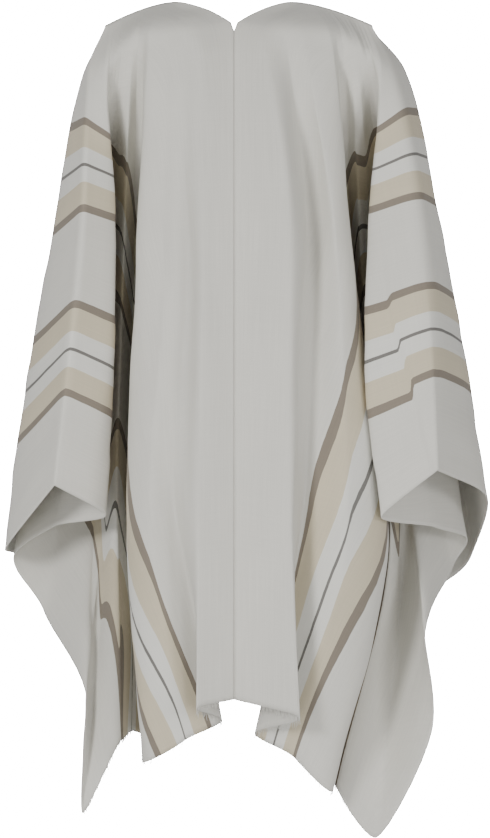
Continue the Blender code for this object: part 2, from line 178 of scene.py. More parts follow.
# The soft turn over the crest: how many columns it takes each side (by side of the garment, as the right arm
# is hardly creased there), from which share of the crest's length it sharpens, how late, and by how much
CREST_REACH = {-1: 4, 1: 9}
CREST_FADE = 0.45
CREST_FADE_POWER = 1.5
CREST_FADE_LOSS = 0.9


def even_slopes(places, values):
    """Slopes of a curve that never overshoots its values (values[k] belongs to places[k])."""
    gaps = np.diff(places).reshape(-1, *([1] * (values.ndim - 1)))
    rates = np.diff(values, axis=0) / gaps
    slopes = np.empty_like(values)
    before, after = rates[:-1], rates[1:]
    wide = 2 * gaps[1:] + gaps[:-1]
    narrow = gaps[1:] + 2 * gaps[:-1]
    same_way = before * after > 0
    safe_before = np.where(same_way, before, 1.0)
    safe_after = np.where(same_way, after, 1.0)
    slopes[1:-1] = np.where(same_way, (wide + narrow) / (wide / safe_before + narrow / safe_after), 0.0)
    slopes[0] = rates[0]
    slopes[-1] = rates[-1]
    return slopes


def round_slopes(places, values):
    """Slopes that carry the curve round each turn, as cloth goes round a fold."""
    slopes = even_slopes(places, values)
    wide = (places[2:] - places[:-2]).reshape(-1, *([1] * (values.ndim - 1)))
    slopes[1:-1] = FULLNESS * (values[2:] - values[:-2]) / wide
    return slopes


def curve_through(places, values, wanted, slopes):
    """The curve through the values with the given slopes, read at the wanted places."""
    spans = np.clip(np.searchsorted(places, wanted, side="right") - 1, 0, len(places) - 2)
    width = (places[spans + 1] - places[spans]).reshape(-1, *([1] * (values.ndim - 1)))
    share = (wanted - places[spans]).reshape(width.shape) / width
    rise = share ** 2 * (3 - 2 * share)
    lead = share * (1 - share) ** 2
    trail = -share ** 2 * (1 - share)
    return ((1 - rise) * values[spans] + rise * values[spans + 1]
            + width * (lead * slopes[spans] + trail * slopes[spans + 1]))


def shoulder_line(across, tip):
    """Points on the top of the shoulder, at distances across the panel from the side of the neck."""
    share = np.clip(np.asarray(across) / SHOULDER_RUN, 0.0, 1.0)
    x = NECK_HALF + (tip[0] - NECK_HALF) * share
    y = tip[1] * share ** 2
    z = tip[2] * share ** SHOULDER_DROP_POWER
    return np.stack([x, y, z], axis=-1)


def fold_sections(fold, start_share, shoulder_tip):
    """One fold's five sections as rows of (x, y, z, across, along), in metres."""
    start = shoulder_line(SHOULDER_RUN * start_share, shoulder_tip)
    even = 1 - fold.along * CM / HALF_LENGTH
    rows = [(*start, SHOULDER_RUN * start_share, 0.0)]
    stations = (fold.upper, fold.middle, fold.lower, (fold.across, *fold.end))
    for place, over, down, (across, x, y) in zip(
            SECTIONS[1:], FALL_OVER_SHOULDER[1:], FALL_DOWN_ARM[1:], stations):
        share = over + (down - over) * even
        z = start[2] + (fold.fall * CM - start[2]) * share
        rows.append((x * CM, y * CM, z, across * CM, fold.along * CM * place))
    return np.array(rows)


def neck_edge(shares, v_reach, v_point):
    """The inner selvedge from the side of the neck to the point of the V, at shares of the fold's length."""
    part = np.clip(np.asarray(shares) * HALF_LENGTH / v_reach, 0.0, 1.0)
    x = NECK_HALF * (1 - part) ** NECK_POWERS[0]
    y = v_point[1] * part ** NECK_POWERS[1]
    z = v_point[2] * part ** NECK_POWERS[2]
    return np.stack([x, y, z], axis=-1)


def half_surface(folds, column_places, crest_places, shares, shoulder_tip, v_reach, v_point):
    """One half of a panel, [column, row, (x, y, z, across, along)], from the centre seam to the crest."""
    shares = np.asarray(shares, dtype=float)
    sections = np.array(SECTIONS)
    lines = []
    for fold, start in zip(folds, np.linspace(0.0, 1.0, len(folds))):
        rows = fold_sections(fold, start, shoulder_tip)
        lines.append(curve_through(sections, rows, shares, even_slopes(sections, rows)))
    lines = np.array(lines)
    in_neck = shares * HALF_LENGTH <= v_reach
    lines[0, in_neck, :3] = neck_edge(shares, v_reach, v_point)[in_neck]
    lines[0, ~in_neck, 0] = 0.0
    ends = np.array([(fold.across, fold.along) for fold in folds], dtype=float)
    edge = np.concatenate([[0.0], np.cumsum(np.linalg.norm(np.diff(ends, axis=0), axis=1))])
    columns = [a + (b - a) * place for a, b in zip(edge[:-2], edge[1:-1]) for place in column_places]
    columns += [edge[-2] + (edge[-1] - edge[-2]) * place for place in crest_places]
    columns = np.array(columns + [edge[-1]])
    slopes = even_slopes(edge, lines)
    slopes[:, :, :2] = round_slopes(edge, lines[:, :, :2])
    surface = curve_through(edge, lines, columns, slopes)
    start_across = SHOULDER_RUN * np.linspace(0.0, 1.0, len(columns))
    surface[:, 0, :3] = shoulder_line(start_across, shoulder_tip)
    surface[:, 0, 3] = start_across
    return surface


def panel_surface(side):
    """A whole panel: columns from the centre back seam over the crest to the centre front seam."""
    back_folds, outer, spread, tip = BACK_LEFT, OUTER_LEFT, 1.0, LEFT_SHOULDER_TIP
    if side > 0:
        back_folds, outer, spread, tip = BACK_RIGHT, OUTER_RIGHT, FRONT_SPREAD_RIGHT, RIGHT_SHOULDER_TIP
    front_folds = [spread_fold(fold, spread) for fold in reversed(FRONT)] + [outer, back_folds[-1]]
    back = half_surface(back_folds, BACK_COLUMNS, BACK_CREST_COLUMNS, ROWS, tip, BACK_V_REACH, BACK_V)
    front = half_surface(front_folds, FRONT_COLUMNS, FRONT_CREST_COLUMNS, ROWS, tip, FRONT_V_REACH, FRONT_V)
    front[:, :, 4] *= -1
    surface = np.concatenate([back, front[::-1][1:]], axis=0)
    surface[:, :, 0] = side * (surface[:, :, 0] + SEAM_GAP / 2)
    return surface


def spread_fold(fold, spread):
    """The same fold, further from the centre."""
    wider = [(across, x * spread, y) for across, x, y in (fold.upper, fold.middle, fold.lower)]
    x, y = fold.end
    return Fold(fold.name, fold.across, fold.along, fold.fall, *wider, (x * spread, y))


def panel_faces(columns, rows, side):
    """Vertex numbers and faces of the sheet; the two halves share their first row, the shoulder line."""
    number = {}
    order = []
    for i in range(columns):
        for j in range(rows):
            key = (min(i, columns - 1 - i), 0) if j == 0 else (i, j)
            if key not in number:
                number[key] = len(order)
                order.append((i, j))
            number[(i, j)] = number[key]
    faces = []
    for i in range(columns - 1):
        for j in range(rows - 1):
            ring = [number[(i, j)], number[(i, j + 1)], number[(i + 1, j + 1)], number[(i + 1, j)]]
            ring = list(dict.fromkeys(ring))
            faces.append(ring if side > 0 else ring[::-1])
    return number, order, faces


# The stripes woven into each panel: one band of them, from its own start in mm, laid at two distances
# across the panel from the inner selvedge
BANDS = (0.220, 0.451)
BAND_WIDTH = 0.123
# Plain cloth that the colour ramp takes in beside a band
BAND_EDGE = 0.005
Stripe = namedtuple("Stripe", "start yarn")
STRIPES = (
    Stripe(0, "dark"), Stripe(10, "tan"), Stripe(39, "white"), Stripe(59.5, "thin"),
    Stripe(64, "white"), Stripe(84.5, "tan"), Stripe(113, "dark"), Stripe(123, "plain"),
)
YARNS = {
    "plain": (0.640, 0.625, 0.570, 1.0),
    "white": (0.680, 0.670, 0.620, 1.0),
    "tan": (0.560, 0.498, 0.368, 1.0),
    "dark": (0.215, 0.184, 0.146, 1.0),
    "thin": (0.165, 0.158, 0.145, 1.0),
}
# Colour of the loose warp ends and of the seams' thread, with the grain of each; and how dark the grain
# starts and how far it goes
FRINGE_COLOUR, FRINGE_GRAIN = (0.60, 0.59, 0.545), 900.0
THREAD_COLOUR, THREAD_GRAIN = (0.52, 0.51, 0.46), 600.0
GRAIN_START = 0.85
GRAIN_REACH = 0.3
# Unevenness of the cloth: noise steps in each metre across and along, its detail, and how far it goes, in
# metres for the edges of the stripes and as a share of the colour for the others
Noise = namedtuple("Noise", "across along detail reach")
STRIPE_DRIFT = Noise(30.0, 45.0, 2.0, 0.0012)
WARP_STREAKS = Noise(700.0, 9.0, 3.0, 0.13)
WEFT_STREAKS = Noise(14.0, 620.0, 2.0, 0.05)
CLOUDS = Noise(16.0, 7.0, 2.0, 0.10)
# The weave: its pitch each way and its relief
WARP_PITCH = 0.0013
WEFT_PITCH = 0.0016
WEAVE_DEPTH = 0.0002
WEAVE_STRENGTH = 0.35
WARP_RELIEF = 1.2

# Where the cloth slides along its folds, so that its stripes lie as they do: fold number and share of the
# fold's length at the middle, reach either way, and slide across in cm
Slide = namedtuple("Slide", "side fold share fold_reach share_reach across")
SLIDES = (
    Slide(-1, 6.2, 0.87, 1.3, 0.18, 4.6),
    Slide(-1, 5.2, 0.24, 2.8, 0.15, 2.2),
    Slide(1, 2.6, 0.655, 2.2, 0.16, -1.4),
    Slide(1, 5.8, 0.27, 1.9, 0.12, 2.2),
)

# The fold number of columns on the front, out of reach of every slide and of the pleat
OFF_THE_BACK = 1000.0

# The small pleat that runs slantwise down the back of the right arm: at shares of the crest's length, how far
# its line lies from the arm fold to the crest (0 to 1), and how far the cloth inside it has slid, in cm
ArmPleat = namedtuple("ArmPleat", "share place slid")
ARM_PLEAT = (
    ArmPleat(0.44, 0.40, 0.0), ArmPleat(0.625, 0.50, 0.8), ArmPleat(0.725, 0.63, 1.2),
    ArmPleat(0.81, 0.73, 1.7), ArmPleat(0.91, 0.82, 1.9), ArmPleat(1.0, 0.94, 1.9),
)
# How deep the pleat is at its line, and after how many cm of slide; then, in shares of the way from the arm
# fold to the crest, how wide its line is and how far its depth reaches; and the slide left at the arm fold
PLEAT_DEPTH = 0.0026
PLEAT_FULL_SLIDE = 1.2
PLEAT_WIDTH = 0.04
PLEAT_REACH = 0.35
PLEAT_SLIDE_KEPT = 0.6

# Soft creases on the cloth, as lines from one place to another (across, along), with along negative on the
# front. height is out of the cloth, and below zero it is a trough. All in cm.
Crease = namedtuple("Crease", "side across along across_end along_end width height")
CREASES = (
    Crease(-1, 0.25, 3.0, 0.3, 15.0, 0.30, 0.09),
    Crease(1, 67.0, 74.0, 68.6, 96.0, 1.4, 0.35),
    Crease(-1, 67.4, 80.0, 68.2, 97.0, 1.2, 0.22),
    Crease(-1, 0.6, 26.5, 2.8, 30.0, 0.9, -0.10),
    Crease(-1, 1.2, 13.0, 4.0, 17.5, 1.6, 0.10),
    Crease(1, 0.5, 69.5, 3.4, 71.5, 0.9, 0.12),
    Crease(1, 1.0, 40.0, 3.0, 52.0, 1.2, -0.07),
    Crease(-1, 0.4, 4.5, 3.2, 8.5, 1.4, 0.16),
    Crease(-1, 6.5, 20.0, 11.0, 62.0, 2.4, -0.16),
    Crease(-1, 9.0, 34.0, 13.0, 82.0, 2.0, 0.14),
    Crease(-1, 14.0, 50.0, 18.0, 92.0, 2.2, -0.12),
    Crease(-1, 21.0, 58.0, 25.0, 96.0, 1.6, 0.10),
    Crease(1, 7.0, 24.0, 12.5, 58.0, 2.2, 0.10),
    Crease(1, 10.0, 14.0, 14.5, 70.0, 1.9, -1.0),
    Crease(1, 5.0, 10.0, 6.5, 60.0, 2.0, 0.30),
    Crease(-1, 8.0, 20.0, 9.5, 70.0, 2.0, -0.55),
    Crease(1, 14.0, 30.0, 19.0, 76.0, 2.4, -0.14),
    Crease(1, 20.0, 48.0, 27.0, 90.0, 2.0, 0.10),
    Crease(1, 30.0, 60.0, 36.0, 95.0, 1.8, -0.10),
    Crease(-1, 30.0, 1.0, 52.0, 2.5, 1.2, -0.06),
    Crease(-1, 22.0, 4.0, 60.0, 6.0, 1.6, 0.07),
    Crease(-1, 44.0, 3.0, 68.0, 10.0, 2.4, -0.10),
    Crease(1, 24.0, 2.5, 64.0, 5.5, 2.0, 0.12),
    Crease(1, 34.0, 6.0, 66.0, 11.0, 2.4, -0.12),
    Crease(1, 50.0, -4.0, 68.0, -9.0, 2.4, 0.10),
    Crease(-1, 48.0, -6.0, 68.0, -16.0, 2.6, 0.12),
    Crease(-1, 58.0, 40.0, 68.0, 62.0, 2.4, -0.12),
    Crease(1, 60.0, 46.0, 68.0, 74.0, 2.4, 0.12),
    Crease(-1, 64.0, 78.0, 68.5, 96.0, 1.8, -0.14),
    Crease(1, 62.0, 80.0, 68.5, 95.0, 1.8, -0.12),
    Crease(-1, 3.0, -30.0, 7.0, -88.0, 2.2, 0.14),
    Crease(-1, 10.0, -28.0, 16.0, -80.0, 2.6, -0.16),
    Crease(-1, 20.0, -20.0, 30.0, -86.0, 2.4, 0.12),
    Crease(-1, 34.0, -22.0, 48.0, -82.0, 2.8, -0.14),
    Crease(1, 2.6, -34.0, 8.0, -84.0, 2.4, -0.12),
    Crease(1, 11.0, -26.0, 18.0, -90.0, 2.4, 0.14),
    Crease(1, 22.0, -24.0, 33.0, -78.0, 2.8, -0.14),
    Crease(1, 36.0, -18.0, 50.0, -88.0, 2.4, 0.14),
)
# Slow waves that no hand-hung cloth is without: length across and along in cm, height in cm, phase
Wave = namedtuple("Wave", "across along height phase")
WAVES = (
    Wave(9.0, 60.0, 0.045, 0.3),
    Wave(5.3, 38.0, 0.028, 1.9),
    Wave(14.0, 23.0, 0.040, 4.1),
    Wave(3.4, 17.0, 0.012, 2.6),
)
# Over how much cloth the waves grow, from the shoulder line and from the inner selvedge
WAVE_START = 0.08
WAVE_EDGE = 0.03
# Below 1, a crease keeps its height until nearer its ends
CREASE_TAPER = 0.7

# Light: the even room light, the white beyond, and the lamps, in watts
ROOM_LIGHT = 0.34
BACKDROP = 45.0
Lamp = namedtuple("Lamp", "name place watts size")
LAMPS = (
    Lamp("key", (-2.4, -3.7, 0.7), 122.0, 1.1),
    Lamp("side", (3.1, -2.8, -0.1), 44.0, 1.2),
    Lamp("low", (1.5, -3.0, -1.4), 28.0, 1.0),
    Lamp("low left", (-1.4, -2.9, -1.5), 18.0, 1.0),
    Lamp("back", (-0.6, 3.6, 0.8), 40.0, 2.4),
)
LAMP_AIM = (0.0, 0.0, -0.5)

# The floor's disc and the camera, whose shift is in pixels of the photograph
FLOOR_RADIUS = 2.2
FLOOR_LEVEL = -1.45
FLOOR_CORNERS = 96
CAMERA_PLACE = (0.0, -4.0, -0.5434)
CAMERA_SENSOR = 36.0
CAMERA_LENS = 132.18
PHOTO_HEIGHT = 838.0
CAMERA_SHIFT = (11.0, 1.0)

# Stitches of the seams and loose warp ends at the hems. Each pair is the least and the most of what varies
# from one to the next, as shares of the size beside it.
STITCH_PITCH, STITCH_PITCHES = 0.0075, (0.92, 1.08)
STITCH_REACH, STITCH_REACHES = 0.0026, (0.8, 1.15)
STITCH_LEANS = (0.35, 0.7)
THREAD_RADIUS = 0.00035
# A stitch's way over the seam: its lift in radii of the thread, how deep its ends go as a share of the
# cloth's thickness, where its shoulders lie, and how much higher its top is
STITCH_LIFT = 0.6
STITCH_SINK = 0.1
STITCH_SHOULDER = 0.7
STITCH_TOP = 1.1
YARN_PITCH, YARN_PITCHES = 0.0021, (0.75, 1.3)
YARN_RADIUS, YARN_RADII = 0.00042, (0.7, 1.1)
YARN_LENGTH, YARN_LENGTHS = 0.0080, (0.55, 1.15)
# A warp end: how far its root goes into the cloth, how many rows above the hem give its direction, its
# points and how thick it is at each, and how far it leans and sways
YARN_ROOT = 0.001
YARN_ROWS = 3
YARN_POINTS = (0.3, 0.65, 1.0)
YARN_TAPER = np.array((1.0, 1.0, 0.8, 0.3))
YARN_LEAN = 0.16
YARN_SWAY = 0.22
TUBE_SIDES = 5
RANDOM_SEED = 7


def quad_normals(points, faces):
    """Unit normals at the vertices of a mesh of quads."""
    total = np.zeros_like(points)
    for face in faces:
        ring = points[face]
        normal = np.cross(ring[2] - ring[0], ring[-1] - ring[1])
        total[face] += normal
    length = np.linalg.norm(total, axis=1)[:, None]
    return total / np.maximum(length, TINY)


def crease_heights(side, across, along):
    """How far the cloth stands off its fold lines at each point, in metres."""
    height = np.zeros_like(across)
    for crease in CREASES:
        if crease.side != side:
            continue
        start = np.array([crease.across, crease.along]) * CM
        run = np.array([crease.across_end, crease.along_end]) * CM - start
        length = np.linalg.norm(run)
        way = run / length
        du = across - start[0]
        dv = along - start[1]
        ahead = (du * way[0] + dv * way[1]) / length
        aside = (du * way[1] - dv * way[0]) / (crease.width * CM)
        taper = np.clip(ahead, 0.0, 1.0)
        taper = np.sin(math.pi * taper) ** CREASE_TAPER * (ahead > 0.0) * (ahead < 1.0)
        height += crease.height * CM * taper * np.exp(-aside ** 2)
    ease = np.clip(np.abs(along) / WAVE_START, 0.0, 1.0) * np.clip(across / WAVE_EDGE, 0.0, 1.0)
    for wave in WAVES:
        turn = across / (wave.across * CM) + along / (wave.along * CM)
        height += ease * wave.height * CM * np.sin(2 * math.pi * turn + wave.phase + side)
    return height


def new_mesh(name, points, faces, material, uv=None):
    """A shaded-smooth mesh object, with the cloth's own coordinates where they are given."""
    mesh = bpy.data.meshes.new(name)
    mesh.from_pydata([tuple(p) for p in points], [], [tuple(int(v) for v in face) for face in faces])
    if uv is not None:
        layer = mesh.uv_layers.new(name="cloth")
        corners = np.empty(len(mesh.loops), dtype=np.int32)
        mesh.loops.foreach_get("vertex_index", corners)
        layer.data.foreach_set("uv", uv[corners].astype(np.float32).ravel())
    mesh.shade_smooth()
    mesh.materials.append(material)
    item = bpy.data.objects.new(name, mesh)
    bpy.context.scene.collection.objects.link(item)
    return item


def thread_tube(line, radii, sides):
    """Points and faces of a thread along a line, closed at both ends."""
    line = np.asarray(line)
    ways = np.gradient(line, axis=0)
    ways /= np.linalg.norm(ways, axis=1)[:, None]
    helper = np.array([0.31, 0.62, 0.72])
    one = np.cross(ways, helper)
    one /= np.linalg.norm(one, axis=1)[:, None]
    two = np.cross(ways, one)
    turns = np.arange(sides) * 2 * math.pi / sides
    ring = (one[:, None] * np.cos(turns)[None, :, None] + two[:, None] * np.sin(turns)[None, :, None])
    points = (line[:, None] + ring * np.asarray(radii)[:, None, None]).reshape(-1, 3)
    faces = []
    for k in range(len(line) - 1):
        for m in range(sides):
            n = (m + 1) % sides
            faces.append([k * sides + m, k * sides + n, (k + 1) * sides + n, (k + 1) * sides + m])
    faces.append(list(range(sides))[::-1])
    faces.append([(len(line) - 1) * sides + m for m in range(sides)])
    return points, faces


def join_threads(name, threads, sides, material):
    """Many threads as one mesh."""
    points, faces, count = [], [], 0
    for line, radii in threads:
        p, f = thread_tube(line, radii, sides)
        points.append(p)
        faces += [[v + count for v in face] for face in f]
        count += len(p)
    return new_mesh(name, np.concatenate(points), faces, material)


def node(tree, kind, **inputs):
    """A shader node with some of its settings and inputs given by name."""
    made = tree.nodes.new(kind)
    for key, value in inputs.items():
        if key in made.inputs:
            made.inputs[key].default_value = value
        else:
            setattr(made, key, value)
    return made


def math_node(tree, operation, first, second):
    """One sum, product or the like of two values or sockets."""
    made = tree.nodes.new("ShaderNodeMath")
    made.operation = operation
    for slot, value in zip(made.inputs, (first, second)):
        if isinstance(value, (int, float)):
            slot.default_value = value
        else:
            tree.links.new(value, slot)
    return made.outputs[0]


def noise_of(tree, u, v, noise):
    """Noise over the cloth, stretched differently across and along it, from 0 to 1."""
    place = tree.nodes.new("ShaderNodeCombineXYZ")
    tree.links.new(math_node(tree, "MULTIPLY", u, noise.across), place.inputs[0])
    tree.links.new(math_node(tree, "MULTIPLY", v, noise.along), place.inputs[1])
    texture = tree.nodes.new("ShaderNodeTexNoise")
    texture.noise_dimensions = "2D"
    texture.inputs["Scale"].default_value = 1.0
    texture.inputs["Detail"].default_value = noise.detail
    tree.links.new(place.outputs[0], texture.inputs["Vector"])
    return texture.outputs["Fac"]


def either_way(tree, value, reach):
    """A value from 0 to 1 as a change of up to half the reach either way."""
    return math_node(tree, "MULTIPLY", math_node(tree, "SUBTRACT", value, 0.5), reach)


def cloth_material():
    """Plain weave with warp stripes, worked out from the cloth's own coordinates in metres."""
    material = bpy.data.materials.new("handwoven_cloth")
    material.use_nodes = True
    tree = material.node_tree
    shader = tree.nodes["Principled BSDF"]
    shader.inputs["Roughness"].default_value = 0.86
    shader.inputs["Specular IOR Level"].default_value = 0.25
    shader.inputs["Sheen Weight"].default_value = 0.18
    shader.inputs["Sheen Roughness"].default_value = 0.5
    uv = node(tree, "ShaderNodeUVMap", uv_map="cloth")
    parts = tree.nodes.new("ShaderNodeSeparateXYZ")
    tree.links.new(uv.outputs[0], parts.inputs[0])
    u, v = parts.outputs[0], parts.outputs[1]
    # Stripes, with their edges a thread or so uneven
    drift = either_way(tree, noise_of(tree, u, v, STRIPE_DRIFT), STRIPE_DRIFT.reach)
    across = math_node(tree, "ADD", u, drift)
    ramp = tree.nodes.new("ShaderNodeValToRGB")
    ramp.color_ramp.interpolation = "CONSTANT"
    span = BAND_WIDTH + 2 * BAND_EDGE
    marks = ramp.color_ramp.elements
    marks[0].color = YARNS["plain"]
    marks[1].position = BAND_EDGE / span
    marks[1].color = YARNS[STRIPES[0].yarn]
    for stripe in STRIPES[1:]:
        mark = marks.new((BAND_EDGE + stripe.start * MM) / span)
        mark.color = YARNS[stripe.yarn]
    in_second = math_node(tree, "GREATER_THAN", across, (BANDS[0] + BAND_WIDTH + BANDS[1]) / 2)
    origin = math_node(tree, "ADD", math_node(tree, "MULTIPLY", in_second, BANDS[1] - BANDS[0]),
                       BANDS[0] - BAND_EDGE)
    place = math_node(tree, "DIVIDE", math_node(tree, "SUBTRACT", across, origin), span)
    tree.links.new(place, ramp.inputs[0])
    # Yarn by yarn variation: long streaks of the warp, short ones of the weft, and slow clouds
    warp = noise_of(tree, u, v, WARP_STREAKS)
    weft = noise_of(tree, u, v, WEFT_STREAKS)
    cloud = noise_of(tree, u, v, CLOUDS)
    shade = either_way(tree, warp, WARP_STREAKS.reach)
    shade = math_node(tree, "ADD", shade, either_way(tree, weft, WEFT_STREAKS.reach))
    shade = math_node(tree, "ADD", shade, either_way(tree, cloud, CLOUDS.reach))
    shade = math_node(tree, "ADD", shade, 1.0)
    scaled = tree.nodes.new("ShaderNodeVectorMath")
    scaled.operation = "SCALE"
    tree.links.new(ramp.outputs[0], scaled.inputs[0])
    tree.links.new(shade, scaled.inputs["Scale"])
    tree.links.new(scaled.outputs[0], shader.inputs["Base Color"])
    # The weave itself
    warp_wave = math_node(tree, "SINE", math_node(tree, "MULTIPLY", u, 2 * math.pi / WARP_PITCH), 0.0)
    weft_wave = math_node(tree, "SINE", math_node(tree, "MULTIPLY", v, 2 * math.pi / WEFT_PITCH), 0.0)
    relief = math_node(tree, "ADD", math_node(tree, "MULTIPLY", warp_wave, weft_wave),
                       math_node(tree, "MULTIPLY", warp, WARP_RELIEF))
    bump = node(tree, "ShaderNodeBump", Strength=WEAVE_STRENGTH, Distance=WEAVE_DEPTH)
    tree.links.new(relief, bump.inputs["Height"])
    tree.links.new(bump.outputs[0], shader.inputs["Normal"])
    return material


def thread_material(name, colour, scale):
    """Loose wool yarn, a little lighter and darker along its length."""
    material = bpy.data.materials.new(name)
    material.use_nodes = True
    tree = material.node_tree
    shader = tree.nodes["Principled BSDF"]
    shader.inputs["Roughness"].default_value = 0.9
    shader.inputs["Specular IOR Level"].default_value = 0.2
    shader.inputs["Sheen Weight"].default_value = 0.2
    place = tree.nodes.new("ShaderNodeTexCoord")
    noise = node(tree, "ShaderNodeTexNoise", Scale=scale, Detail=2.0)
    tree.links.new(place.outputs["Object"], noise.inputs["Vector"])
    grain = math_node(tree, "MULTIPLY", noise.outputs["Fac"], GRAIN_REACH)
    shade = math_node(tree, "ADD", grain, GRAIN_START)
    scaled = tree.nodes.new("ShaderNodeVectorMath")
    scaled.operation = "SCALE"
    scaled.inputs[0].default_value = colour[:3]
    tree.links.new(shade, scaled.inputs["Scale"])
    tree.links.new(scaled.outputs[0], shader.inputs["Base Color"])
    return material


def fold_numbers(columns):
    """Which fold of the back each column lies on, or how far it lies from one to the next."""
    number = np.full(columns, OFF_THE_BACK)
    plain = (len(BACK_LEFT) - 2) * len(BACK_COLUMNS)
    number[:plain] = np.arange(plain) / len(BACK_COLUMNS)
    fine = len(BACK_CREST_COLUMNS)
    number[plain:plain + fine + 1] = len(BACK_LEFT) - 2 + np.arange(fine + 1) / fine
    return number


def arm_pleat(surface, side):
    """The right arm's small pleat: slides the cloth's coordinates, and gives how far it sinks, in metres."""
    if side < 0:
        return np.zeros(surface.shape[:2])
    shares = [mark.share for mark in ARM_PLEAT]
    line = np.interp(ROWS, shares, [mark.place for mark in ARM_PLEAT])
    slid = np.interp(ROWS, shares, [mark.slid for mark in ARM_PLEAT]) * CM
    place = (fold_numbers(surface.shape[0]) - (len(BACK_LEFT) - 2))[:, None]
    inside = np.clip((line[None, :] - place) / PLEAT_WIDTH + 0.5, 0.0, 1.0) * np.clip(1 + place, 0.0, 1.0)
    grown = np.clip(place / line[None, :], 0.0, 1.0)
    inside = inside * (PLEAT_SLIDE_KEPT + (1 - PLEAT_SLIDE_KEPT) * grown)
    surface[:, :, 3] -= inside * slid[None, :]
    near = np.exp(-np.maximum(line[None, :] - place, 0.0) / PLEAT_REACH)
    return inside * near * PLEAT_DEPTH * np.clip(slid / (PLEAT_FULL_SLIDE * CM), 0.0, 1.0)[None, :]


def slide_cloth(surface, side):
    """The cloth's own coordinates, moved along where it has slid over its folds."""
    for slide in SLIDES:
        if slide.side != side:
            continue
        fold = fold_numbers(surface.shape[0])
        by_fold = np.clip(1 - np.abs(fold - slide.fold) / slide.fold_reach, 0.0, 1.0)
        by_share = np.clip(1 - np.abs(ROWS - slide.share) / slide.share_reach, 0.0, 1.0)
        weight = np.outer(by_fold ** 2 * (3 - 2 * by_fold), by_share ** 2 * (3 - 2 * by_share))
        surface[:, :, 3] = np.minimum(surface[:, :, 3] + weight * slide.across * CM, PANEL_WIDTH)
    return surface


def slope_after(surface, column):
    """How the cloth goes on from a column to the next, for each metre between them."""
    step = surface[column + 1] - surface[column]
    return step / np.maximum(np.linalg.norm(step[:, :3], axis=1), TINY)[:, None]


def round_crest(surface, side):
    """The fold down the arm as a soft turn, since cloth over an arm has no sharp corner there."""
    middle = surface.shape[0] // 2
    reach = CREST_REACH[side]
    first, last = middle - reach, middle + reach
    ways = np.linalg.norm(np.diff(surface[first:last + 1, :, :3], axis=0), axis=2)
    places = np.concatenate([np.zeros((1, ways.shape[1])), np.cumsum(ways, axis=0)])
    whole = np.maximum(places[-1], TINY)
    lead, trail = slope_after(surface, first - 1), slope_after(surface, last)
    start, end = surface[first].copy(), surface[last].copy()
    fade = np.clip((ROWS - CREST_FADE) / (1 - CREST_FADE), 0.0, 1.0)
    soft = (1 - fade ** CREST_FADE_POWER * CREST_FADE_LOSS)[:, None]
    for k in range(first + 1, last):
        t = (places[k - first] / whole)[:, None]
        rise = t ** 2 * (3 - 2 * t)
        turned = ((1 - rise) * start + rise * end
                  + whole[:, None] * (t * (1 - t) ** 2 * lead - t ** 2 * (1 - t) * trail))
        surface[k, 1:] = (soft * turned + (1 - soft) * surface[k])[1:]
    return surface


def cloth_panel(name, side, material):
    """One panel as a fine sheet: its object, its points, and their numbers by column and row."""
    surface = round_crest(slide_cloth(panel_surface(side), side), side)
    sunk = arm_pleat(surface, side)
    columns, rows = surface.shape[:2]
    number, order, faces = panel_faces(columns, rows, side)
    quads = [np.array(face) for face in faces]
    points = np.array([surface[i, j, :3] for i, j in order])
    cloth = np.array([surface[i, j, 3:] for i, j in order])
    normals = quad_normals(points, quads)
    back = number[(0, rows // 2)]
    if normals[back, 1] > 0:
        normals = -normals
    height = crease_heights(side, cloth[:, 0], cloth[:, 1]) - np.array([sunk[i, j] for i, j in order])
    points = points + normals * height[:, None]
    seam = np.array([number[(i, j)] for i in (0, columns - 1) for j in range(rows)
                     if abs(surface[i, j, 0]) < 2 * SEAM_GAP])
    points[seam, 0] = side * SEAM_GAP / 2
    item = new_mesh(name, points, faces, material, cloth)
    wall = item.modifiers.new("wall", "SOLIDIFY")
    wall.thickness = CLOTH_THICKNESS
    wall.offset = 0.0
    wall.use_even_offset = False
    return item, points, number


def hem_yarns(name, points, number, columns, row, rng, material):
    """Loose warp ends along one hem."""
    hem = np.array([points[number[(i, row)]] for i in columns])
    above = np.array([points[number[(i, row - YARN_ROWS)]] for i in columns])
    down = hem - above
    down /= np.linalg.norm(down, axis=1)[:, None]
    steps = np.concatenate([[0.0], np.cumsum(np.linalg.norm(np.diff(hem, axis=0), axis=1))])
    threads = []
    at = YARN_PITCH / 2
    while at < steps[-1]:
        root = np.array([np.interp(at, steps, hem[:, k]) for k in range(3)])
        way = np.array([np.interp(at, steps, down[:, k]) for k in range(3)])
        way = way + rng.normal(0.0, YARN_LEAN, 3)
        way /= np.linalg.norm(way)
        sway = rng.normal(0.0, YARN_SWAY, 3)
        length = YARN_LENGTH * rng.uniform(*YARN_LENGTHS)
        line = [root - way * YARN_ROOT]
        for share in YARN_POINTS:
            line.append(root + way * length * share + sway * length * share ** 2)
        radius = YARN_RADIUS * rng.uniform(*YARN_RADII)
        threads.append((line, radius * YARN_TAPER))
        at += YARN_PITCH * rng.uniform(*YARN_PITCHES)
    return join_threads(name, threads, TUBE_SIDES, material)


